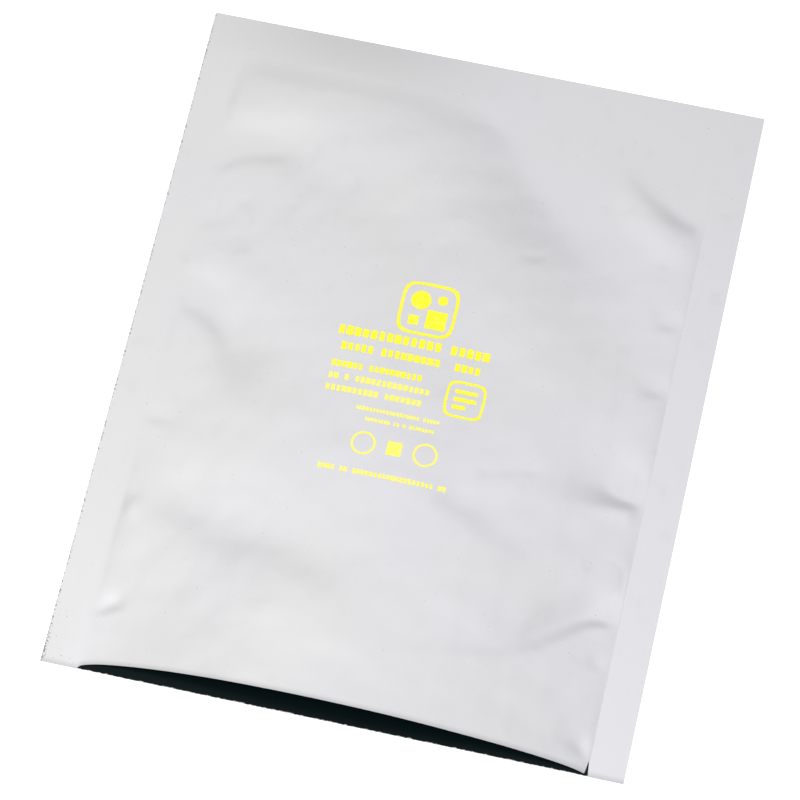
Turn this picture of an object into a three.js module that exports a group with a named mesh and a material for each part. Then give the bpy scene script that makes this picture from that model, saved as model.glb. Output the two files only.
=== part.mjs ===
// An open bag of foil laminate for parts that must stay dry, lying flat on its back with its mouth
// towards -Y. Two sheets of film of one size are welded together along both sides and the far end.
// The back sheet lies flat, and the front sheet stands up between the welds, highest at the mouth.
// Millimetres, +Z up, with the origin under the middle of the bag, on the surface that it lies on.

import * as THREE from "three";

// The sheets and their welds.
const BAG_WIDTH = 203.2;
const BAG_LENGTH = 254;
const FILM_THICKNESS = 0.09;
const SIDE_WELD_WIDTH = 12.7;
const END_WELD_WIDTH = 12.7;

// How the front sheet stands up between the welds: highest at its lip, lower behind it, and with
// a small shoulder beside each weld. Its lip also stands back from the back sheet's edge.
const LIP_RISE = 9;
const LIP_FADE = 45;
const BELLY_RISE = 6;
const BELLY_POWER = 1.2;
const ARCH_POWER = 1.15;
const SHOULDER_RISE = 0.35;
const SHOULDER_WIDTH = 3.5;
const END_SLOPE = 24;
const LEAST_LIFT = 0.02;

// The gap at the mouth: how far the lip would stand back if it lay flat, and how much less for
// each millimetre that it stands up. The skew moves the gap's widest place to the left.
const MOUTH_GAP = 7;
const GAP_LEAN = 0.293;
const GAP_POWER = 0.55;
const GAP_SKEW = 0.85;
const GAP_FADE = 25;

// The spacing of the front sheet's mesh, and the stretches that a fold is cut into.
const MESH_SPACING = 4.15;
const FOLD_STRETCHES = 24;

// How far in from the welds the folds reach their full height.
const FOLD_RAMP = 5;
const FOLD_END_RAMP = 12;

const { clamp, lerp, smoothstep } = THREE.MathUtils;

const LEFT = -1;
const RIGHT = 1;

// The folds and hollows of the front sheet. Each runs along a curve through its places, given as
// their distances in from one side weld and from the mouth. height is its height where it starts,
// below 0 for a valley, and hold is the share of its length that keeps it. width is its half width
// at the start and at the end, and lean makes the side towards the mouth steeper when under 1.
const FOLDS = [
  {
    side: RIGHT,
    path: [[1, 210], [11, 215], [23, 225], [45, 245]],
    height: -0.9, hold: 0.3, width: [5, 13], lean: 0.75,
  },
  {
    side: RIGHT,
    path: [[5, 193], [19, 203], [37, 221]],
    height: 0.5, hold: 0.3, width: [9, 12], lean: 1,
  },
  {
    side: RIGHT,
    path: [[83, 249], [57, 205], [33, 167], [19, 129]],
    height: -1, hold: 0.35, width: [22, 16], lean: 0.9,
  },
  {
    side: RIGHT,
    path: [[1, 102], [15, 104], [44, 108]],
    height: -0.8, hold: 0.2, width: [4, 9], lean: 0.7,
  },
  {
    side: RIGHT,
    path: [[67, 89], [49, 82], [27, 75]],
    height: -0.4, hold: 0.3, width: [8, 9], lean: 0.8,
  },
  {
    side: RIGHT,
    path: [[1, 56], [17, 52], [32, 39], [77, 29]],
    height: -1, hold: 0.3, width: [4.5, 7], lean: 0.8,
  },
  {
    side: RIGHT,
    path: [[3, 8], [15, 13]],
    height: -0.8, hold: 0.1, width: [4, 5], lean: 0.8,
  },
  {
    side: LEFT,
    path: [[2, 199], [12, 205], [25, 206], [34, 197]],
    height: -0.5, hold: 0.5, width: [5, 6], lean: 0.8,
  },
  {
    side: LEFT,
    path: [[2, 144], [14, 141], [23, 130], [35, 106]],
    height: -0.45, hold: 0.6, width: [5, 8], lean: 0.8,
  },
  {
    side: LEFT,
    path: [[11, 71], [31, 64], [61, 61], [101, 54]],
    height: -0.7, hold: 0.5, width: [12, 17], lean: 0.85,
  },
];

const POCKET_WIDTH = BAG_WIDTH - 2 * SIDE_WELD_WIDTH;
const POCKET_LENGTH = BAG_LENGTH - END_WELD_WIDTH;
const MOUTH_Y = -BAG_LENGTH / 2;

const foilMaterial = () =>
  new THREE.MeshStandardMaterial({ color: 0xdcdcdf, roughness: 0.38, metalness: 0.85 });

// A place on the bag, from its distance in from a side weld and its distance from the mouth.
const placeAt = (side, [inwards, fromMouth]) =>
  new THREE.Vector2(side * (POCKET_WIDTH / 2 - inwards), MOUTH_Y + fromMouth);

// A fold with the straight stretches that make up its curve.
function layFold(fold) {
  const curve = new THREE.SplineCurve(fold.path.map((place) => placeAt(fold.side, place)));
  const points = curve.getPoints(FOLD_STRETCHES).map(({ x, y }) => new THREE.Vector3(x, y, 0));
  const stretches = points.slice(1).map((end, i) => new THREE.Line3(points[i], end));
  return { ...fold, stretches, facing: Math.sign(points[0].x - points.at(-1).x) };
}

// The height of a fold at x, y.
function foldHeight(fold, x, y) {
  const here = new THREE.Vector3(x, y, 0);
  let nearest = { distance: Infinity, along: 0, offset: 0 };
  fold.stretches.forEach((stretch, i) => {
    const t = stretch.closestPointToPointParameter(here, true);
    const distance = stretch.at(t, new THREE.Vector3()).distanceTo(here);
    if (distance >= nearest.distance) return;
    const run = stretch.delta(new THREE.Vector3()).normalize();
    const offset = fold.facing * here.clone().sub(stretch.start).cross(run).z;
    nearest = { distance, along: (i + t) / FOLD_STRETCHES, offset };
  });
  const [startWidth, endWidth] = fold.width;
  const width = lerp(startWidth, endWidth, nearest.along);
  const sideWidth = width * fold.lean ** -clamp(nearest.offset / width, -1, 1);
  const left = 1 - smoothstep(nearest.along, fold.hold, 1);
  return fold.height * left * Math.exp(-((nearest.distance / sideWidth) ** 2));
}

const folds = FOLDS.map(layFold);

// How far x lies across the pocket, from 0 at the left weld to 1 at the right one.
const shareAcross = (x) => clamp(x / POCKET_WIDTH + 0.5, 0, 1);

// An arch from weld to weld, whose top is 1. A skew below 1 moves its top to the left.
const archAt = (x, power, skew = 1) => Math.max(Math.sin(Math.PI * shareAcross(x) ** skew), 0) ** power;

// How far the front sheet stands off the back sheet.
function liftAt(x, y) {
  const fromMouth = y - MOUTH_Y;
  const fromSide = POCKET_WIDTH / 2 - Math.abs(x);
  const fromEnd = POCKET_LENGTH - fromMouth;
  if (fromSide <= 0 || fromEnd <= 0) return 0;
  const belly = BELLY_RISE * Math.cos((Math.PI / 2) * (fromMouth / POCKET_LENGTH)) ** BELLY_POWER;
  const lip = (LIP_RISE - BELLY_RISE) * Math.exp(-fromMouth / LIP_FADE);
  const beside = SHOULDER_RISE * (1 - Math.exp(-fromSide / SHOULDER_WIDTH));
  const shoulder = beside * smoothstep(fromEnd, 0, END_SLOPE);
  const folded = folds.reduce((sum, fold) => sum + foldHeight(fold, x, y), 0);
  const ramp = smoothstep(fromSide, 0, FOLD_RAMP) * smoothstep(fromEnd, 0, FOLD_END_RAMP);
  return Math.max(LEAST_LIFT, (belly + lip) * archAt(x, ARCH_POWER) + shoulder + ramp * folded);
}

// How far the front sheet stands back from the mouth.
function standBack(x, y) {
  const gap = MOUTH_GAP * archAt(x, GAP_POWER, GAP_SKEW) - GAP_LEAN * LIP_RISE * archAt(x, ARCH_POWER);
  return gap * Math.exp(-(y - MOUTH_Y) / GAP_FADE);
}

// The places where a stretch is cut into even steps of about the mesh spacing, both ends included.
function evenSteps(from, to) {
  const count = Math.max(2, Math.round((to - from) / MESH_SPACING));
  return Array.from({ length: count + 1 }, (_, i) => lerp(from, to, i / count));
}

// A sheet of the film's thickness over a grid: undersideAt(x, y) gives a point of its lower face.
function sheetGeometry(xs, ys, undersideAt) {
  const across = xs.length;
  const layer = across * ys.length;
  const lower = ys.flatMap((y) => xs.map((x) => undersideAt(x, y)));
  const upper = lower.map((point) => point.clone().setZ(point.z + FILM_THICKNESS));
  const index = [];
  const quad = (a, b, c, d) => index.push(a, b, c, a, c, d);
  for (let row = 0; row < ys.length - 1; row++)
    for (let column = 0; column < across - 1; column++) {
      const corner = row * across + column;
      quad(corner, corner + across, corner + across + 1, corner + 1);
      quad(corner + layer, corner + 1 + layer, corner + across + 1 + layer, corner + across + layer);
    }
  const wall = (a, b) => quad(a, b, b + layer, a + layer);
  for (let column = 0; column < across - 1; column++) {
    const far = layer - across + column;
    wall(column, column + 1);
    wall(far + 1, far);
  }
  for (let row = 0; row < ys.length - 1; row++) {
    const corner = row * across;
    wall(corner + across, corner);
    wall(corner + across - 1, corner + 2 * across - 1);
  }
  return new THREE.BufferGeometry().setFromPoints([...lower, ...upper]).setIndex(index);
}

function backFilm() {
  const geometry = new THREE.BoxGeometry(BAG_WIDTH, BAG_LENGTH, FILM_THICKNESS);
  const mesh = new THREE.Mesh(geometry, foilMaterial());
  mesh.position.z = FILM_THICKNESS / 2;
  mesh.name = "back_film";
  return mesh;
}

function frontFilm() {
  const xs = [-BAG_WIDTH / 2, ...evenSteps(-POCKET_WIDTH / 2, POCKET_WIDTH / 2), BAG_WIDTH / 2];
  const ys = [...evenSteps(MOUTH_Y, MOUTH_Y + POCKET_LENGTH), BAG_LENGTH / 2];
  const undersideAt = (x, y) => new THREE.Vector3(x, y + standBack(x, y), liftAt(x, y));
  const mesh = new THREE.Mesh(sheetGeometry(xs, ys, undersideAt), foilMaterial());
  mesh.position.z = FILM_THICKNESS;
  mesh.name = "front_film";
  return mesh;
}

const bag = new THREE.Group();
bag.add(backFilm(), frontFilm());

export default bag;
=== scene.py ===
"""An open bag of foil laminate for parts that must stay dry, lying flat on its back film.

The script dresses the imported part: it remakes the two films finely, with their creases, finishes
and print, and sets up a pale studio around them. Objects are in metres in the part's own frame.
The shape is worked out in millimetres and turned into metres when a mesh is made.
"""

import math

import bpy
import numpy as np
from bpy.props import (
    FloatProperty,
    FloatVectorProperty,
    IntProperty,
    PointerProperty,
)
from mathutils import Matrix, Vector


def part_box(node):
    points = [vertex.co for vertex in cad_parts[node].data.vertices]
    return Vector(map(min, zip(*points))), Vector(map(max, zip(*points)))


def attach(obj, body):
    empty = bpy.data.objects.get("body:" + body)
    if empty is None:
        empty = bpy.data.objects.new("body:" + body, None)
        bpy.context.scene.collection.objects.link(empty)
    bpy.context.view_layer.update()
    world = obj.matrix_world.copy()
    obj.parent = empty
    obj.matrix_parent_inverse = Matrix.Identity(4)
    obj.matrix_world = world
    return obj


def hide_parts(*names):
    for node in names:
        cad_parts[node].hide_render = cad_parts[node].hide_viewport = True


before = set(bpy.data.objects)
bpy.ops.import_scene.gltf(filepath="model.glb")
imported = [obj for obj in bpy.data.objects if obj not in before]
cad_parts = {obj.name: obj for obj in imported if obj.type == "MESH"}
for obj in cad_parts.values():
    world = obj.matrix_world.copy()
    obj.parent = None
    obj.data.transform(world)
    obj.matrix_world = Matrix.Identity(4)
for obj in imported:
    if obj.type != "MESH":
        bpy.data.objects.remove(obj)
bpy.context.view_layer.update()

bl_info = {
    "name": "Moisture Barrier Bag",
    "version": (1, 0, 0),
    "blender": (4, 5, 0),
    "location": "3D View > Sidebar > Bag",
    "description": "Makes an open bag of foil laminate with its creases, finishes and print",
    "category": "Add Mesh",
}

MM = 0.001
BODY = "root"
BAG_LOW, BAG_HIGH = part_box("back_film")
HALF_WIDTH = (BAG_HIGH.x - BAG_LOW.x) / 2 / MM
HALF_LENGTH = (BAG_HIGH.y - BAG_LOW.y) / 2 / MM
MOUTH_Y = -HALF_LENGTH
FILM_THICKNESS = (BAG_HIGH.z - BAG_LOW.z) / MM

# The creases of the front film, in millimetres in the bag's frame. Each runs through its points
# from where it is deepest. height is its height there, below 0 for a valley, and hold is the share
# of its length that keeps this height before it runs out. width is its half width at both ends,
# and lean makes the side towards the mouth steeper when it is under 1.
CREASES = {
    "far_right_valley": dict(
        points=[(88, 84), (80, 88), (68, 98), (50, 114)],
        height=-1.0, width=(5.5, 14), lean=0.85, hold=0.5,
    ),
    "right_ridge": dict(
        points=[(78, 74), (69, 82), (56, 95), (40, 110)],
        height=0.6, width=(8, 13), lean=1.0, hold=0.5,
    ),
    "far_left_rise": dict(
        points=[(-66, 98), (-34, 92), (-2, 72), (26, 44), (38, 10)],
        height=0.4, width=(22, 26), lean=1.0, hold=0.6,
    ),
    "diagonal_valley": dict(
        points=[(30, 124), (36, 96), (48, 70), (62, 40), (74, 2)],
        height=-1.5, width=(28, 20), lean=1.0, hold=0.4,
    ),
    "right_valley": dict(
        points=[(88, -24.5), (74, -23), (45, -19)],
        height=-1.5, width=(4.4, 13), lean=0.75, hold=0.3,
    ),
    "right_fold_line": dict(
        points=[(48, -24), (34, -28), (20, -34)],
        height=-0.15, width=(3, 3), lean=0.8, hold=0.2,
    ),
    "right_hollow": dict(
        points=[(24, -39), (42, -46), (66, -53)],
        height=-0.45, width=(8, 10), lean=0.85, hold=0.4,
    ),
    "s_crease": dict(
        points=[(88, -69), (80, -70), (72, -74.5), (63, -82), (50, -88.5), (30, -92.5), (8, -100)],
        height=-1.25, width=(4.5, 8), lean=0.72, hold=0.1,
    ),
    "right_low_ridge": dict(
        points=[(83, -31.5), (76, -30.5), (66, -28)],
        height=0.35, width=(3.5, 6), lean=1.0, hold=0.2,
    ),
    "seam_hook": dict(
        points=[(87.5, -66), (87.2, -58), (85.5, -51.5), (78, -50)],
        height=-0.08, width=(1.0, 1.0), lean=1.0, hold=0.7,
    ),
    "seam_tuck_a": dict(
        points=[(88, 102), (82, 101)],
        height=-0.3, width=(2.5, 3), lean=0.8, hold=0.1,
    ),
    "seam_tuck_b": dict(
        points=[(88, 41.5), (76, 40.5)],
        height=-0.5, width=(2.4, 3), lean=0.8, hold=0.1,
    ),
    "seam_tuck_c": dict(
        points=[(88, 16.5), (76, 13.5)],
        height=-0.5, width=(2.6, 3.5), lean=0.8, hold=0.1,
    ),
    "seam_tuck_d": dict(
        points=[(85, -88), (79, -88)],
        height=-0.2, width=(2.2, 2.5), lean=0.8, hold=0.1,
    ),
    "corner_dent": dict(
        points=[(86, -119), (74, -114)],
        height=-0.4, width=(3, 5), lean=0.8, hold=0.1,
    ),
    "nick": dict(
        points=[(35, 57), (31, 55), (28, 58.5)],
        height=-0.12, width=(1.5, 1.5), lean=0.8, hold=0.4,
    ),
    "left_arc": dict(
        points=[(-87, 72), (-77, 78), (-64, 79.5), (-55, 70)],
        height=-0.9, width=(6, 9), lean=0.85, hold=0.6,
    ),
    "left_faint": dict(
        points=[(-86, 46), (-70, 53)],
        height=-0.25, width=(4, 5), lean=0.8, hold=0.2,
    ),
    "left_sweep": dict(
        points=[(-88, 17), (-77, 15), (-66, 5), (-60, -7), (-53, -25)],
        height=-1.1, width=(6, 10), lean=0.85, hold=0.6,
    ),
    "left_tuck": dict(
        points=[(-88, -31), (-74, -32.5)],
        height=-0.35, width=(2.5, 4), lean=0.8, hold=0.1,
    ),
    "near_left_spot": dict(
        points=[(-86, -66), (-78, -67)],
        height=0.35, width=(3.4, 5), lean=1.0, hold=0.2,
    ),
    "near_left_valley": dict(
        points=[(-66, -60), (-50, -65), (-24, -68), (14, -76)],
        height=-0.9, width=(11, 18), lean=0.85, hold=0.7,
    ),
    "near_left_tuck": dict(
        points=[(-85, -104.5), (-77, -100.5)],
        height=-0.4, width=(2.6, 2.8), lean=0.8, hold=0.3,
    ),
}
CREASE_STEPS = 12

# How far in from the welds the creases reach their full height.
CREASE_RAMP = 4.5
CREASE_END_RAMP = 12

# The front film's arch from weld to weld, its shoulders, and how it runs down to the far end.
ARCH_POWER = 1.15
LEFT_FLATNESS = 0.2
BELLY_POWER = 1.2
SHOULDER_WIDTH = 3.5
END_SLOPE = 24
REST_LIFT = 0.25
SOFT_FLOOR = 0.3

# The slow swells of the front film: each with its seed, size, number of waves and height.
SWELLS = ((3, 46, 14, 0.12), (5, 14, 30, 0.035), (8, 6, 30, 0.01))

# The gap at the mouth: its shape from weld to weld, and how much less it is for each millimetre of rise.
GAP_POWER = 0.55
GAP_SKEW = 0.85
GAP_LEAN = 0.293

# The notch where the lip leaves the right weld.
NOTCH_X = 88.6
NOTCH_HALF = 0.42
NOTCH_DEPTH = 5.0
NOTCH_REACH = 2.5

# Where both films stand off the ground before the far end.
END_RISE_WIDTH = 14
END_RISE_BEND = 1.3
END_RISE_FADE = 60
END_RISE_X = -47
END_RISE_HALF = 42

# How wide the band of finer mesh at the mouth is.
LIP_BAND = 4

# The print: rows of plain blocks, each with the middle of its left end, its length and its
# blocks' height, and marks, each with its shape, middle and half size, in millimetres.
ROWS = {
    "head_row": dict(start=(-28, 13.6), length=56, height=3.6, pale=False),
    "second_row": dict(start=(-26, 7.6), length=52, height=3.0, pale=False),
    "list_row_a": dict(start=(-28, 0.6), length=34, height=2.4, pale=False),
    "list_row_b": dict(start=(-28, -4.2), length=38, height=2.4, pale=True),
    "list_row_c": dict(start=(-28, -8.8), length=36, height=2.4, pale=True),
    "thin_row_a": dict(start=(-16, -14.6), length=32, height=1.5, pale=True),
    "thin_row_b": dict(start=(-12, -18.4), length=25, height=1.4, pale=True),
    "last_row": dict(start=(-24, -38.4), length=46, height=1.9, pale=True),
}
MARKS = {
    "emblem_frame": dict(kind="square_ring", at=(0, 27), half=10.2, stroke=1.1, pale=False),
    "emblem_disc": dict(kind="disc", at=(-3.2, 30.2), half=3.6, pale=False),
    "emblem_tile": dict(kind="tile", at=(3.6, 23.4), half=(3.6, 3.6), pale=False),
    "emblem_dot": dict(kind="disc", at=(4.4, 31.4), half=1.8, pale=False),
    "emblem_chip": dict(kind="tile", at=(-4.4, 22.2), half=(1.8, 1.8), pale=False),
    "side_ring": dict(kind="square_ring", at=(20, -4.2), half=7, stroke=0.9, pale=False),
    "side_bar_a": dict(kind="tile", at=(20, -1.2), half=(4, 0.75), pale=False),
    "side_bar_b": dict(kind="tile", at=(20, -4.2), half=(4, 0.75), pale=False),
    "side_bar_c": dict(kind="tile", at=(18.4, -7.2), half=(2.4, 0.75), pale=False),
    "low_ring_a": dict(kind="ring", at=(-11, -27.6), half=4.4, stroke=0.8, pale=True),
    "low_tile": dict(kind="tile", at=(0, -27.6), half=(2.6, 2.6), pale=True),
    "low_ring_b": dict(kind="ring", at=(11, -27.6), half=4.4, stroke=0.8, pale=True),
}
INK_LIFT = 0.02
INK_THICKNESS = 0.03
INK_STEP = 0.6

# The blocks of a row, as shares of the row's height: their pitch, and the range of their widths
# and heights. A share of the blocks is left out.
BLOCK_PITCH = 0.8
BLOCK_WIDTHS = (0.5, 0.72)
BLOCK_HEIGHTS = (0.86, 1.0)
BLOCK_GAPS = 0.13

# In metres: how high the blocks start before they drop on the film, and how close points merge.
DROP_HEIGHT = 0.1
WELD_DISTANCE = 1e-6

# How deep the film's fine grain is, in millimetres.
GRAIN_DEPTH = 0.022

# The softboxes, in metres: each with its place, where it faces, and its width and length.
LAMPS = {
    "key": dict(place_at=(-0.24, 0.0, 2.2), aim=(0, 0, 0), size=(2.8, 1.8), spin=math.radians(-12)),
    "side": dict(place_at=(-1.15, 0.75, 2.0), aim=(0, 0, 0), size=(0.9, 0.9)),
    "fill": dict(place_at=(-0.2, -0.4, 0.75), aim=(-0.03, -0.1, 0), size=(0.35, 0.35)),
}

# The floor: its reach in metres, how far it lies below the bag in millimetres, and its added glow.
FLOOR_REACH = 6
FLOOR_DROP = 0.05
FLOOR_GLOW = 0.4


class BagShape(bpy.types.PropertyGroup):
    """Sizes of the bag."""

    side_weld: FloatProperty(
        name="Side weld", description="Width of the welds along both sides",
        default=12.7 * MM, unit="LENGTH",
    )
    end_weld: FloatProperty(
        name="End weld", description="Width of the weld across the far end",
        default=12.7 * MM, unit="LENGTH",
    )
    lip_rise: FloatProperty(
        name="Lip rise", description="Height of the front film at the mouth",
        default=9 * MM, unit="LENGTH",
    )
    mouth_gap: FloatProperty(
        name="Mouth gap", description="How far the front film would stand back if it lay flat",
        default=7 * MM, unit="LENGTH",
    )
    gap_fade: FloatProperty(
        name="Gap fade", description="Distance over which the mouth's gap dies out",
        default=25 * MM, unit="LENGTH",
    )
    lip_fade: FloatProperty(
        name="Lip fade", description="Distance over which the mouth's rise dies out",
        default=45 * MM, unit="LENGTH",
    )
    belly_rise: FloatProperty(
        name="Belly rise", description="Height of the front film behind the mouth",
        default=6 * MM, unit="LENGTH",
    )
    end_lift: FloatProperty(
        name="End lift", description="How far the far end's left half stands off the ground",
        default=1.1 * MM, unit="LENGTH",
    )
    grid: FloatProperty(
        name="Grid", description="Spacing of the films' meshes",
        default=1.2 * MM, unit="LENGTH",
    )


class BagFinish(bpy.types.PropertyGroup):
    """Colours and finishes of the bag, with painted shade and painted cool light among them."""

    foil: FloatVectorProperty(
        name="Foil", description="Outer face of the film",
        default=(0.668, 0.667, 0.672), size=3, subtype="COLOR",
    )
    # Painted cool light: the foil turns towards this colour to the right, as if a bluish light fell there.
    painted_cool_light_foil: FloatVectorProperty(
        name="Foil in painted cool light", description="Outer face where it looks cooler",
        default=(0.66, 0.66, 0.69), size=3, subtype="COLOR",
    )
    scuff: FloatVectorProperty(
        name="Scuff", description="Fine wear of the foil",
        default=(0.5, 0.5, 0.5), size=3, subtype="COLOR",
    )
    speck: FloatVectorProperty(
        name="Speck", description="Dark specks along the edges",
        default=(0.2, 0.19, 0.19), size=3, subtype="COLOR",
    )
    # Painted shade: the inner face is near black here, darker than its own silvery colour, for the dark
    # inside of the bag.
    lining: FloatVectorProperty(
        name="Lining", description="Inner face of the film",
        default=(0.002, 0.006, 0.007), size=3, subtype="COLOR",
    )
    ink: FloatVectorProperty(
        name="Ink", description="Printed marks",
        default=(1.0, 0.90, 0.012), size=3, subtype="COLOR",
    )
    pale_ink: FloatVectorProperty(
        name="Pale ink", description="Finely printed marks",
        default=(0.97, 0.88, 0.13), size=3, subtype="COLOR",
    )
    worn_ink: FloatVectorProperty(
        name="Worn ink", description="Ink where it is thin and the foil greys it",
        default=(0.8, 0.78, 0.45), size=3, subtype="COLOR",
    )
    foil_roughness: FloatProperty(
        name="Foil roughness", description="How satin the foil is", default=0.35, subtype="FACTOR"
    )
    seed: IntProperty(name="Seed", description="Picks the chance blocks of the print", default=7)


class StageSetup(bpy.types.PropertyGroup):
    """Camera, lamps and floor."""

    azimuth: FloatProperty(
        name="Azimuth", description="Direction of the camera",
        default=math.radians(15.13), subtype="ANGLE",
    )
    elevation: FloatProperty(
        name="Elevation", description="Height of the camera",
        default=math.radians(68.17), subtype="ANGLE",
    )
    roll: FloatProperty(
        name="Roll", description="Tilt of the camera to its right",
        default=math.radians(-2.6), subtype="ANGLE",
    )
    distance: FloatProperty(
        name="Distance", description="From the camera to where it aims",
        default=1.3913, unit="LENGTH",
    )
    lens: FloatProperty(name="Lens", description="Focal length in millimetres", default=178.85)
    aim: FloatVectorProperty(
        name="Aim", description="Where the camera aims",
        default=(-0.0026, -0.0071, 0.0), size=3, unit="LENGTH",
    )
    key_level: FloatProperty(
        name="Key level", description="Brightness of the softbox overhead", default=0.53
    )
    side_level: FloatProperty(
        name="Side level", description="Brightness of the softbox on the left", default=0.3
    )
    fill_level: FloatProperty(
        name="Fill level", description="Brightness of the small near softbox", default=8.0
    )
    sky_level: FloatProperty(
        name="Sky level", description="Brightness of the surroundings", default=0.69
    )


def smooth_step(low, high, value):
    """0 below low, 1 above high, and an even curve between them."""
    share = np.clip((value - low) / (high - low), 0, 1)
    return share * share * (3 - 2 * share)


def spline(points, steps):
    """Points along a smooth curve through the given ones, steps to each stretch."""
    given = np.array(points, float)
    ends = np.vstack([2 * given[0] - given[1], given, 2 * given[-1] - given[-2]])
    found = []
    for before, start, end, after in zip(ends, ends[1:], ends[2:], ends[3:]):
        for t in np.arange(steps) / steps:
            found.append(
                0.5 * (2 * start + (end - before) * t
                       + (2 * before - 5 * start + 4 * end - after) * t**2
                       + (3 * start - before - 3 * end + after) * t**3)
            )
    return np.array([*found, given[-1]])


def crease_height(x, y, points, height, width, lean, hold):
    """The height of one crease at x, y."""
    line = spline(points, CREASE_STEPS)
    nearest = np.full(x.shape, np.inf)
    along = np.zeros(x.shape)
    side = np.zeros(x.shape)
    facing = math.copysign(1, line[0][0] - line[-1][0])
    for i, (start, end) in enumerate(zip(line, line[1:])):
        run = end - start
        dx, dy = x - start[0], y - start[1]
        t = np.clip((dx * run[0] + dy * run[1]) / (run @ run), 0, 1)
        distance = np.hypot(dx - t * run[0], dy - t * run[1])
        closer = distance < nearest
        nearest = np.where(closer, distance, nearest)
        along = np.where(closer, (i + t) / (len(line) - 1), along)
        side = np.where(closer, facing * (run[1] * dx - run[0] * dy) / np.linalg.norm(run), side)
    half = width[0] + (width[1] - width[0]) * along
    half = half * lean ** -np.clip(side / half, -1, 1)
    return height * (1 - smooth_step(hold, 1, along)) * np.exp(-((nearest / half) ** 2))


def ripple(x, y, seed, size, count=14):
    """A soft uneven surface between about -1 and 1, whose swells are size across."""
    chance = np.random.default_rng(seed)
    total = np.zeros(x.shape)
    for _ in range(count):
        turn, phase = chance.uniform(0, 2 * math.pi, 2)
        rate = 2 * math.pi / (size * chance.uniform(0.7, 1.6))
        total += np.sin(rate * (x * math.cos(turn) + y * math.sin(turn)) + phase)
    return total / math.sqrt(count)


def share_across(x, shape):
    """How far x lies across the pocket, from 0 at the left weld to 1 at the right one."""
    return np.clip(x / (2 * (HALF_WIDTH - shape.side_weld / MM)) + 0.5, 0, 1)


def arch(share):
    """The film's arch from weld to weld, flatter beside the left weld."""
    power = ARCH_POWER + LEFT_FLATNESS * (1 - smooth_step(0, 0.5, share))
    return np.sin(np.pi * share) ** power


def film_lift(x, y, shape):
    """How far the front film stands off the back film at x, y, in millimetres."""
    pocket_half = HALF_WIDTH - shape.side_weld / MM
    pocket_length = 2 * HALF_LENGTH - shape.end_weld / MM
    from_mouth = y - MOUTH_Y
    near_mouth = np.exp(-np.maximum(from_mouth, 0) / (shape.lip_fade / MM))
    to_end = np.clip(from_mouth / pocket_length, 0, 1)
    belly = shape.belly_rise / MM * np.cos(np.pi / 2 * to_end) ** BELLY_POWER
    lip = (shape.lip_rise - shape.belly_rise) / MM * near_mouth
    in_side = np.maximum(pocket_half - np.abs(x), 0)
    in_end = np.maximum(pocket_length - from_mouth, 0)
    free = (1 - np.exp(-in_side / SHOULDER_WIDTH)) * smooth_step(0, END_SLOPE, in_end)
    swell = sum(rise * ripple(x, y, seed, size, count) for seed, size, count, rise in SWELLS)
    height = (belly + lip) * arch(share_across(x, shape)) + free * (REST_LIFT + swell)
    for crease in CREASES.values():
        ramp = min(crease["width"][0] + 1, CREASE_RAMP)
        inside = smooth_step(0, ramp, in_side) * smooth_step(0, CREASE_END_RAMP, in_end)
        height = height + crease_height(x, y, **crease) * inside
    return 0.5 * (height + np.sqrt(height**2 + (SOFT_FLOOR * free) ** 2))


def lip_shift(x, y, shape):
    """How far the front film stands back from the mouth at x, y, in millimetres."""
    share = share_across(x, shape)
    gap = shape.mouth_gap / MM * np.sin(np.pi * share**GAP_SKEW) ** GAP_POWER
    leant = GAP_LEAN * shape.lip_rise / MM * arch(share)
    from_mouth = y - MOUTH_Y
    notch = NOTCH_DEPTH * np.exp(-(((x - NOTCH_X) / NOTCH_HALF) ** 2) - from_mouth / NOTCH_DEPTH)
    return (gap - leant) * np.exp(-from_mouth / (shape.gap_fade / MM)) + notch


def end_lift(x, y, shape):
    """How far both films stand off the ground together before the far end, in millimetres."""
    to_edge = HALF_LENGTH - y
    climb = 1 - (1 - np.clip(to_edge / END_RISE_WIDTH, 0, 1)) ** END_RISE_BEND
    rise = climb * (1 - smooth_step(END_RISE_WIDTH, END_RISE_FADE, to_edge))
    return shape.end_lift / MM * rise * np.exp(-(((x - END_RISE_X) / END_RISE_HALF) ** 2))


def film_mesh(name, xs, ys, underside, thickness=FILM_THICKNESS):
    """A closed sheet over a grid, with slots for top, underside and rim, and its grid as UVs in metres."""
    x, y = np.meshgrid(xs, ys)
    px, py, pz = underside(x, y)
    rows, columns = x.shape
    layer = rows * columns
    lower = np.stack([px, py, pz], axis=-1).reshape(-1, 3)
    upper = lower + [0, 0, thickness]
    points = np.vstack([lower, upper]) * MM
    corner = (np.arange(rows - 1)[:, None] * columns + np.arange(columns - 1)).ravel()
    around = np.stack([corner, corner + 1, corner + columns + 1, corner + columns], axis=1)
    index = np.arange(layer).reshape(rows, columns)
    edge = np.concatenate([index[0], index[1:, -1], index[-1, -2::-1], index[-2:0:-1, 0]])
    after = np.roll(edge, -1)
    rim = np.stack([edge, after, after + layer, edge + layer], axis=1)
    slots = np.repeat([0, 1, 2], [len(around), len(around), len(rim)])
    faces = np.vstack([around + layer, around[:, ::-1], rim])
    mesh = bpy.data.meshes.new(name)
    mesh.vertices.add(len(points))
    mesh.vertices.foreach_set("co", points.ravel())
    mesh.loops.add(faces.size)
    mesh.loops.foreach_set("vertex_index", faces.ravel())
    mesh.polygons.add(len(faces))
    mesh.polygons.foreach_set("loop_start", np.arange(len(faces)) * 4)
    mesh.polygons.foreach_set("material_index", slots)
    mesh.update(calc_edges=True)
    mesh.validate()
    flat = np.tile(np.stack([x.ravel(), y.ravel()], axis=1) * MM, (2, 1))
    mesh.uv_layers.new(name="flat").data.foreach_set("uv", flat[faces.ravel()].ravel())
    mesh.shade_smooth()
    mesh.set_sharp_from_angle(angle=math.radians(60))
    return mesh


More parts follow.
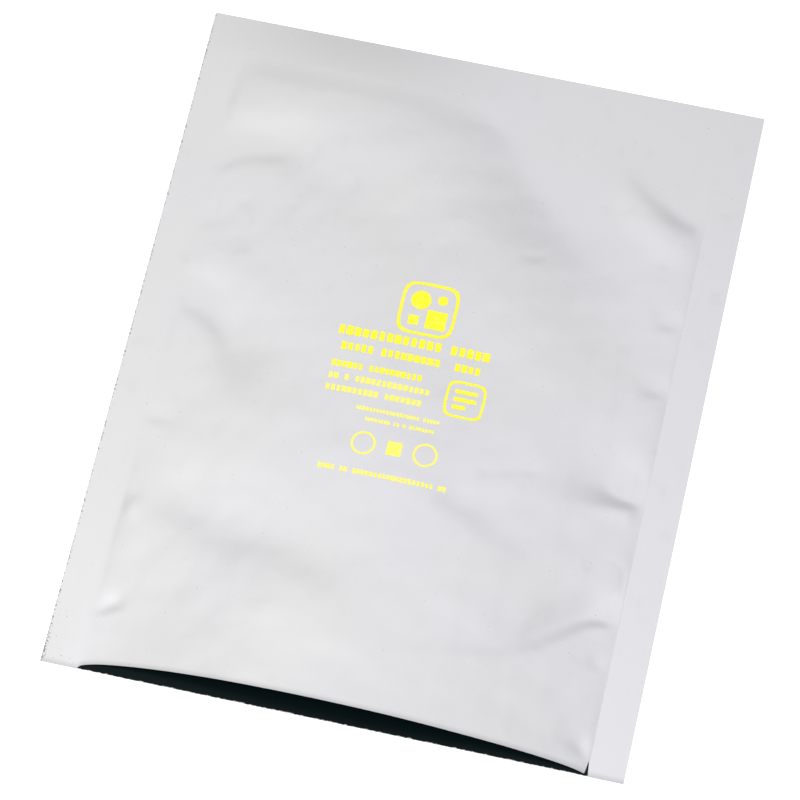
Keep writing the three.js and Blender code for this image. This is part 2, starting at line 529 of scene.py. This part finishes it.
def on_film(x, y, shape):
    """The point of the front film's upper face at x, y of the film when flat, in millimetres."""
    height = film_lift(x, y, shape) + 2 * FILM_THICKNESS + end_lift(x, y, shape)
    return x, y + lip_shift(x, y, shape), height


def mark_mesh(name, shape, kind, at, half, stroke=0):
    """A thin closed patch of ink on the film: a disc, a tile, or a ring of either."""
    half_x, half_y = half if kind == "tile" else (half, half)

    def outline(u, v):
        if kind == "tile":
            x, y = u, v
        elif kind == "disc":
            x, y = u * np.sqrt(1 - (v / half) ** 2 / 2), v * np.sqrt(1 - (u / half) ** 2 / 2)
        else:
            power = 5 if kind == "square_ring" else 2
            reach = (half - stroke * v) / (abs(np.cos(u)) ** power + abs(np.sin(u)) ** power) ** (1 / power)
            x, y = reach * np.cos(u), reach * np.sin(u)
        px, py, pz = on_film(at[0] + x, at[1] + y, shape)
        return px, py, pz + INK_LIFT

    if kind in ("tile", "disc"):
        us, vs = (grid_line(-reach, reach, INK_STEP) for reach in (half_x, half_y))
        return film_mesh(name, us, vs, outline, INK_THICKNESS)
    turns = grid_line(2 * math.pi, 0, INK_STEP / half)
    return film_mesh(name, turns, np.linspace(0, 1, 3), outline, INK_THICKNESS)


def feed(tree, socket, value):
    """Link a socket, or set its value."""
    if isinstance(value, bpy.types.NodeSocket):
        tree.links.new(value, socket)
    else:
        socket.default_value = value


def node(tree, kind, **values):
    """A new node with its settings, and with values or links for its inputs, named or numbered in_0."""
    made = tree.nodes.new(kind)
    for name, value in values.items():
        if hasattr(made, name):
            setattr(made, name, value)
            continue
        key = int(name[3:]) if name.startswith("in_") else name.replace("_", " ")
        feed(tree, made.inputs[key], value)
    return made


def maths(tree, operation, *values):
    """The result of a math node."""
    given = {f"in_{i}": value for i, value in enumerate(values)}
    return node(tree, "ShaderNodeMath", operation=operation, **given).outputs[0]


def noise(tree, place_at, scale, detail=2.0, stretch=(1, 1, 1)):
    """Noise between about 0 and 1, with scale features to the metre."""
    spread = node(tree, "ShaderNodeVectorMath", operation="MULTIPLY", in_0=place_at, in_1=stretch)
    made = node(tree, "ShaderNodeTexNoise", Vector=spread.outputs[0], Scale=scale, Detail=detail)
    return made.outputs["Fac"]


def ramp(tree, value, low, high, start=0.0, end=1.0):
    """A value taken evenly from low..high to start..end."""
    made = node(tree, "ShaderNodeMapRange", From_Min=low, From_Max=high, To_Min=start, To_Max=end)
    feed(tree, made.inputs["Value"], value)
    return made.outputs["Result"]


def mix(tree, factor, low, high):
    """Two colours mixed by a factor."""
    made = node(tree, "ShaderNodeMix", data_type="RGBA")
    for name, value in (("Factor", factor), ("A", low), ("B", high)):
        socket = next(found for found in made.inputs if found.name == name and found.enabled)
        plain = name == "Factor" or isinstance(value, bpy.types.NodeSocket)
        feed(tree, socket, value if plain else (*value, 1))
    return next(found for found in made.outputs if found.enabled)


def row_tree():
    """Geometry nodes that lay one row of plain blocks in chance widths on the film."""
    tree = bpy.data.node_groups.new("print_row", "GeometryNodeTree")
    sockets = tree.interface
    sockets.new_socket("Film", in_out="INPUT", socket_type="NodeSocketObject")
    for name in ("Left", "Across", "Length", "Height", "Lift", "Thickness"):
        sockets.new_socket(name, in_out="INPUT", socket_type="NodeSocketFloat")
    sockets.new_socket("Seed", in_out="INPUT", socket_type="NodeSocketInt")
    sockets.new_socket("Ink", in_out="INPUT", socket_type="NodeSocketMaterial")
    sockets.new_socket("Geometry", in_out="OUTPUT", socket_type="NodeSocketGeometry")
    given = tree.nodes.new("NodeGroupInput").outputs

    def chance(low, high, offset):
        seed = maths(tree, "ADD", given["Seed"], offset)
        return node(tree, "FunctionNodeRandomValue", in_2=low, in_3=high, Seed=seed).outputs[1]

    def vector(x=0.0, y=0.0, z=0.0):
        return node(tree, "ShaderNodeCombineXYZ", X=x, Y=y, Z=z).outputs[0]

    # One place for each block, a few of them left out as gaps between the groups.
    pitch = maths(tree, "MULTIPLY", given["Height"], BLOCK_PITCH)
    line = node(
        tree, "GeometryNodeMeshLine", Count=maths(tree, "DIVIDE", given["Length"], pitch),
        Offset=vector(x=pitch), Start_Location=vector(given["Left"], given["Across"]),
    )
    left_out = maths(tree, "LESS_THAN", chance(0.0, 1.0, 11), BLOCK_GAPS)
    gaps = node(
        tree, "GeometryNodeDeleteGeometry", Geometry=line.outputs["Mesh"], Selection=left_out
    )
    block = node(
        tree, "GeometryNodeMeshGrid", Vertices_X=4, Vertices_Y=5, Size_X=1.0, Size_Y=1.0
    )
    wide = maths(tree, "MULTIPLY", given["Height"], chance(*BLOCK_WIDTHS, 23))
    high = maths(tree, "MULTIPLY", given["Height"], chance(*BLOCK_HEIGHTS, 31))
    copies = node(
        tree, "GeometryNodeInstanceOnPoints", Points=gaps.outputs[0],
        Instance=block.outputs["Mesh"], Scale=vector(wide, high, 1.0),
    )
    solid = node(tree, "GeometryNodeRealizeInstances", in_0=copies.outputs[0])

    # Each point drops on the film, and the sheet that results is closed at a small thickness.
    film = node(tree, "GeometryNodeObjectInfo", Object=given["Film"])
    above = node(
        tree, "GeometryNodeSetPosition", Geometry=solid.outputs[0], Offset=(0, 0, DROP_HEIGHT)
    )
    ray = node(
        tree, "GeometryNodeRaycast", Target_Geometry=film.outputs["Geometry"],
        Ray_Direction=(0, 0, -1), Ray_Length=1.0,
    )
    dropped = node(
        tree, "GeometryNodeSetPosition", Geometry=above.outputs[0],
        Position=ray.outputs["Hit Position"], Offset=vector(z=given["Lift"]),
    )
    up = node(tree, "FunctionNodeInputVector", vector=(0, 0, 1))
    raised = node(
        tree, "GeometryNodeExtrudeMesh", Mesh=dropped.outputs[0], Individual=False,
        Offset=up.outputs[0], Offset_Scale=given["Thickness"],
    )
    below = node(tree, "GeometryNodeFlipFaces", in_0=dropped.outputs[0])
    both = node(tree, "GeometryNodeJoinGeometry", in_0=raised.outputs["Mesh"])
    tree.links.new(below.outputs[0], both.inputs[0])
    closed = node(
        tree, "GeometryNodeMergeByDistance", Geometry=both.outputs[0], Distance=WELD_DISTANCE
    )
    whole = node(tree, "GeometryNodeRealizeInstances", in_0=closed.outputs[0])
    inked = node(
        tree, "GeometryNodeSetMaterial", Geometry=whole.outputs[0], Material=given["Ink"]
    )
    tree.links.new(inked.outputs[0], tree.nodes.new("NodeGroupOutput").inputs[0])
    return tree


def row_mesh(name, tree, **values):
    """The plain mesh that the row's nodes make with these values."""
    scratch = bpy.data.objects.new(name + "_maker", bpy.data.meshes.new(name + "_maker"))
    bpy.context.scene.collection.objects.link(scratch)
    maker = scratch.modifiers.new("row", "NODES")
    maker.node_group = tree
    for socket in tree.interface.items_tree:
        if socket.in_out == "INPUT":
            maker[socket.identifier] = values[socket.name]
    graph = bpy.context.evaluated_depsgraph_get()
    mesh = bpy.data.meshes.new_from_object(scratch.evaluated_get(graph))
    mesh.name = name
    bpy.data.objects.remove(scratch)
    return mesh


def place(name, mesh, *materials):
    """A piece of the bag at the origin, with its materials, riding on the bag's body."""
    for material in materials:
        mesh.materials.append(material)
    piece = bpy.data.objects.new(name, mesh)
    bpy.context.scene.collection.objects.link(piece)
    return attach(piece, BODY)


def grid_line(start, end, spacing):
    """Even steps from start to end, both included."""
    return np.linspace(start, end, max(2, round(abs(end - start) / spacing) + 1))


def new_material(name):
    """A material with its node tree and its Principled shader."""
    material = bpy.data.materials.new(name)
    material.use_nodes = True
    tree = material.node_tree
    return material, tree, tree.nodes["Principled BSDF"]


def film_marks_and_painted_light():
    """The node group of the film's marks and painted light: its slow colour shift with painted cool light,
    scuffs, specks, a lip darkened with painted shade, a painted reflection at the edges, and grain.
    """
    tree = bpy.data.node_groups.new("film_marks_and_painted_light", "ShaderNodeTree")
    sockets = tree.interface
    for name in ("Half Width", "Mouth"):
        sockets.new_socket(name, in_out="INPUT", socket_type="NodeSocketFloat")
    for name in ("Tint", "Scuff", "Speck", "Lip", "Edge", "Corner"):
        sockets.new_socket(name, in_out="OUTPUT", socket_type="NodeSocketFloat")
    sockets.new_socket("Normal", in_out="OUTPUT", socket_type="NodeSocketVector")
    given = tree.nodes.new("NodeGroupInput").outputs
    flat = node(tree, "ShaderNodeUVMap", uv_map="flat").outputs[0]
    split = node(tree, "ShaderNodeSeparateXYZ", in_0=flat)
    across, along = split.outputs[0], split.outputs[1]
    from_lip = maths(tree, "SUBTRACT", along, given["Mouth"])
    to_side = maths(tree, "SUBTRACT", given["Half Width"], maths(tree, "ABSOLUTE", across))

    # A slow random shift of colour, and painted cool light that makes the foil bluer to the right.
    slow = noise(tree, flat, 14, 1)
    drift = ramp(tree, slow, 0.35, 0.65, -0.35, 0.35)
    tint_and_cool_light = maths(tree, "ADD", ramp(tree, across, -0.10, 0.10), drift)

    # Faint scuffs, in streaks and in blots.
    streaks = ramp(tree, noise(tree, flat, 260, 3, (1, 0.12, 1)), 0.62, 0.78)
    blots = ramp(tree, noise(tree, flat, 120, 3), 0.6, 0.8)
    scuff = maths(tree, "MAXIMUM", maths(tree, "MULTIPLY", streaks, 0.5), blots)

    # Dark specks crowd the left side's outer edge, most of all at the left corner of the mouth.
    near_side = ramp(tree, to_side, 0.0, 0.0014, 0.22, 0.0)
    to_left = maths(tree, "ADD", across, given["Half Width"])
    left_margin = ramp(tree, to_left, 0.0, 0.013, 1.0, 0.0)
    in_corner = maths(tree, "MULTIPLY", left_margin, ramp(tree, from_lip, 0.0, 0.03, 1.0, 0.0))
    crowd = maths(tree, "ADD", near_side, maths(tree, "MULTIPLY", in_corner, 0.13))
    left_only = ramp(tree, across, -0.05, -0.09)
    dots = noise(tree, flat, 1300, 2)
    least = maths(tree, "SUBTRACT", 0.74, maths(tree, "MULTIPLY", crowd, left_only))
    speck = ramp(tree, maths(tree, "SUBTRACT", dots, least), 0.0, 0.03)

    # Painted shade: the foil darkens within a few millimetres of the mouth's edge.
    lip = ramp(tree, from_lip, 0.0, 0.0022, 1.0, 0.0)
    # Painted reflection: a band along the mouth and the sides where the lining shows bright.
    edge = ramp(tree, maths(tree, "MINIMUM", from_lip, to_side), 0.0, 0.0011, 1.0, 0.0)
    fine = noise(tree, flat, 1500, 3)
    coarse = noise(tree, flat, 330, 2)
    grain = maths(tree, "ADD", maths(tree, "MULTIPLY", fine, 0.25), coarse)
    bump = node(tree, "ShaderNodeBump", Strength=1.0, Distance=GRAIN_DEPTH * MM, Height=grain)
    out = tree.nodes.new("NodeGroupOutput")
    found = (tint_and_cool_light, scuff, speck, lip, edge, in_corner, bump.outputs[0])
    for value, socket in zip(found, out.inputs):
        tree.links.new(value, socket)
    return tree


def marks_of(tree):
    """The outputs of the film's marks and painted light in a material."""
    group = bpy.data.node_groups.get("film_marks_and_painted_light") or film_marks_and_painted_light()
    made = node(tree, "ShaderNodeGroup", node_tree=group)
    made.inputs["Half Width"].default_value = HALF_WIDTH * MM
    made.inputs["Mouth"].default_value = MOUTH_Y * MM
    return made.outputs


def foil_material(finish):
    """The satin outer face of the film."""
    material, tree, shader = new_material("foil")
    marks = marks_of(tree)
    # Painted cool light to the right, on top of a slow random shift of colour.
    colour = mix(tree, marks["Tint"], finish.foil, finish.painted_cool_light_foil)
    colour = mix(tree, maths(tree, "MULTIPLY", marks["Scuff"], 0.05), colour, finish.scuff)
    # Painted shade at the lip: the lining's dark colour mixed into the foil near the mouth's edge.
    colour = mix(tree, maths(tree, "MULTIPLY", marks["Lip"], 0.25), colour, finish.lining)
    colour = mix(tree, maths(tree, "MULTIPLY", marks["Corner"], 0.22), colour, finish.scuff)
    colour = mix(tree, maths(tree, "MULTIPLY", marks["Speck"], 0.8), colour, finish.speck)
    tree.links.new(colour, shader.inputs["Base Color"])
    tree.links.new(marks["Normal"], shader.inputs["Normal"])
    rough = maths(tree, "MULTIPLY_ADD", marks["Scuff"], 0.12, finish.foil_roughness)
    tree.links.new(rough, shader.inputs["Roughness"])
    shader.inputs["Metallic"].default_value = 0.75
    return material


def painted_shade_lining_material(finish):
    """The glossy inner face of the film, near black as painted shade for the dark inside of the bag, with a
    ragged bright band at its edge as a painted reflection.
    """
    material, tree, shader = new_material("lining")
    marks = marks_of(tree)
    flat = node(tree, "ShaderNodeUVMap", uv_map="flat").outputs[0]
    # Painted reflection: the lining turns foil-bright in a ragged band along its outer edges.
    teeth = maths(tree, "ADD", marks["Edge"], noise(tree, flat, 700, 3))
    painted_rim_reflection = ramp(tree, teeth, 1.25, 1.4)
    tree.links.new(mix(tree, painted_rim_reflection, finish.lining, finish.foil), shader.inputs["Base Color"])
    shader.inputs["Roughness"].default_value = 0.3
    shader.inputs["Specular IOR Level"].default_value = 0.07
    return material


def ink_material(name, colour, finish):
    """Thin printed ink, a little uneven, so that the foil greys it in places."""
    material, tree, shader = new_material(name)
    coords = tree.nodes.new("ShaderNodeTexCoord")
    thin = ramp(tree, noise(tree, coords.outputs["Object"], 700, 3), 0.55, 0.8, 0.0, 0.5)
    tree.links.new(mix(tree, thin, colour, finish.worn_ink), shader.inputs["Base Color"])
    shader.inputs["Roughness"].default_value = 0.42
    return material


class BAG_OT_films(bpy.types.Operator):
    """Make the front and back films"""

    bl_idname = "bag.films"
    bl_label = "Make Films"

    def execute(self, context):
        shape, finish = context.scene.bag_shape, context.scene.bag_finish
        foil, lining = foil_material(finish), painted_shade_lining_material(finish)
        weld_x = HALF_WIDTH - shape.side_weld / MM
        weld_y = HALF_LENGTH - shape.end_weld / MM
        step = shape.grid / MM
        xs = np.concatenate([
            grid_line(-HALF_WIDTH, -weld_x, 2 * step)[:-1],
            grid_line(-weld_x, weld_x, step),
            grid_line(weld_x, HALF_WIDTH, 2 * step)[1:],
        ])
        notch_xs = NOTCH_X + NOTCH_HALF * np.linspace(-NOTCH_REACH, NOTCH_REACH, 11)
        xs = np.unique(np.append(xs, notch_xs).round(4))
        ys = np.concatenate([
            grid_line(MOUTH_Y, MOUTH_Y + LIP_BAND, step / 2)[:-1],
            grid_line(MOUTH_Y + LIP_BAND, weld_y, step),
            grid_line(weld_y, HALF_LENGTH, 2 * step)[1:],
        ])

        def back(x, y):
            return x, y, end_lift(x, y, shape)

        def front(x, y):
            px, py, pz = on_film(x, y, shape)
            return px, py, pz - FILM_THICKNESS

        # The back film's upper face and the front film's underside take the lining's painted shade.
        back_piece = place("back_skin", film_mesh("back_skin", xs, ys, back), lining, foil, foil)
        front_piece = place("front_skin", film_mesh("front_skin", xs, ys, front), foil, lining, foil)
        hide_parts("back_film")
        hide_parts("front_film")
        return {"FINISHED"}


class BAG_OT_print(bpy.types.Operator):
    """Print the rows of blocks and the marks on the front film"""

    bl_idname = "bag.print"
    bl_label = "Print Film"

    def execute(self, context):
        shape, finish = context.scene.bag_shape, context.scene.bag_finish
        film = bpy.data.objects.get("front_skin")
        if film is None:
            raise RuntimeError("The films are made first")
        full = ink_material("ink", finish.ink, finish)
        pale = ink_material("pale_ink", finish.pale_ink, finish)
        for name, mark in MARKS.items():
            form = {key: value for key, value in mark.items() if key != "pale"}
            material = pale if mark["pale"] else full
            place(name, mark_mesh(name, shape, **form), material, material, material)
        tree = row_tree()
        for number, (name, row) in enumerate(ROWS.items()):
            left, across = row["start"]
            mesh = row_mesh(
                name, tree, Film=film, Left=left * MM, Across=across * MM, Length=row["length"] * MM,
                Height=row["height"] * MM, Lift=INK_LIFT * MM, Thickness=INK_THICKNESS * MM,
                Seed=finish.seed + number, Ink=pale if row["pale"] else full,
            )
            place(name, mesh)
        return {"FINISHED"}


def softbox(name, place_at, aim, size, level, spin=0.0):
    """A rectangular lamp that faces its aim and is as bright as level, where 1 looks white."""
    light = bpy.data.lights.new(name, "AREA")
    light.shape = "RECTANGLE"
    light.size, light.size_y = size
    light.energy = level * math.pi * size[0] * size[1]
    lamp = bpy.data.objects.new(name, light)
    bpy.context.scene.collection.objects.link(lamp)
    lamp.location = place_at
    lamp.rotation_euler = (Vector(aim) - Vector(place_at)).to_track_quat("-Z", "Y").to_euler()
    lamp.rotation_euler.rotate_axis("Z", spin)
    return lamp


class BAG_OT_stage(bpy.types.Operator):
    """Set up the floor, the lamps, the surroundings and the camera"""

    bl_idname = "bag.stage"
    bl_label = "Set Up Stage"

    def execute(self, context):
        scene, setup = context.scene, context.scene.bag_stage
        floor_mesh = bpy.data.meshes.new("floor")
        corners = [(x * FLOOR_REACH, y * FLOOR_REACH, 0) for x, y in ((-1, -1), (1, -1), (1, 1), (-1, 1))]
        floor_mesh.from_pydata(corners, [], [(0, 1, 2, 3)])
        floor = bpy.data.objects.new("floor", floor_mesh)
        floor.location.z = -FLOOR_DROP * MM
        scene.collection.objects.link(floor)
        material, tree, shader = new_material("floor")
        shader.inputs["Base Color"].default_value = (0.9, 0.9, 0.9, 1)
        shader.inputs["Roughness"].default_value = 0.9
        shader.inputs["Specular IOR Level"].default_value = 0.0
        path = tree.nodes.new("ShaderNodeLightPath")
        glow = maths(tree, "MULTIPLY", path.outputs["Is Camera Ray"], FLOOR_GLOW)
        shader.inputs["Emission Color"].default_value = (1, 1, 1, 1)
        tree.links.new(glow, shader.inputs["Emission Strength"])
        floor_mesh.materials.append(material)

        world = bpy.data.worlds.new("studio")
        scene.world = world
        world.use_nodes = True
        background = world.node_tree.nodes["Background"]
        background.inputs["Color"].default_value = (1, 1, 1, 1)
        background.inputs["Strength"].default_value = setup.sky_level

        for name, lamp in LAMPS.items():
            softbox(name, level=getattr(setup, name + "_level"), **lamp)

        azimuth, elevation, roll = setup.azimuth, setup.elevation, setup.roll
        level_back = Vector((math.sin(azimuth), -math.cos(azimuth), 0))
        back = math.cos(elevation) * level_back + math.sin(elevation) * Vector((0, 0, 1))
        level = Vector((math.cos(azimuth), math.sin(azimuth), 0))
        up = back.cross(level)
        right = math.cos(roll) * level + math.sin(roll) * up
        turned = Matrix((right, back.cross(right), back)).transposed()
        data = bpy.data.cameras.new("camera")
        data.lens = setup.lens
        data.sensor_width = 36
        data.clip_start, data.clip_end = 0.05, 50
        camera = bpy.data.objects.new("camera", data)
        camera.matrix_world = Matrix.Translation(Vector(setup.aim) + back * setup.distance) @ turned.to_4x4()
        scene.collection.objects.link(camera)
        scene.camera = camera
        scene.view_settings.view_transform = "Standard"
        return {"FINISHED"}


class BAG_PT_panel(bpy.types.Panel):
    """Sizes, finishes and steps of the bag"""

    bl_label = "Moisture Barrier Bag"
    bl_idname = "BAG_PT_panel"
    bl_space_type = "VIEW_3D"
    bl_region_type = "UI"
    bl_category = "Bag"

    def draw(self, context):
        for group in (context.scene.bag_shape, context.scene.bag_finish, context.scene.bag_stage):
            box = self.layout.box()
            for name in group.bl_rna.properties.keys():
                if name not in ("rna_type", "name"):
                    box.prop(group, name)
        for operator in OPERATORS:
            self.layout.operator(operator.bl_idname)


GROUPS = {"bag_shape": BagShape, "bag_finish": BagFinish, "bag_stage": StageSetup}
OPERATORS = (BAG_OT_films, BAG_OT_print, BAG_OT_stage)


def register():
    """Add the bag's settings, steps and panel."""
    for group in GROUPS.values():
        bpy.utils.register_class(group)
    for operator in OPERATORS:
        bpy.utils.register_class(operator)
    bpy.utils.register_class(BAG_PT_panel)
    for name, group in GROUPS.items():
        setattr(bpy.types.Scene, name, PointerProperty(type=group))


def unregister():
    """Take them away again."""
    for name in GROUPS:
        delattr(bpy.types.Scene, name)
    bpy.utils.unregister_class(BAG_PT_panel)
    for operator in reversed(OPERATORS):
        bpy.utils.unregister_class(operator)
    for group in reversed(GROUPS.values()):
        bpy.utils.unregister_class(group)


def main():
    """Make the bag and its stage."""
    register()
    bpy.ops.bag.films()
    bpy.ops.bag.print()
    bpy.ops.bag.stage()


if __name__ == "__main__":
    main()
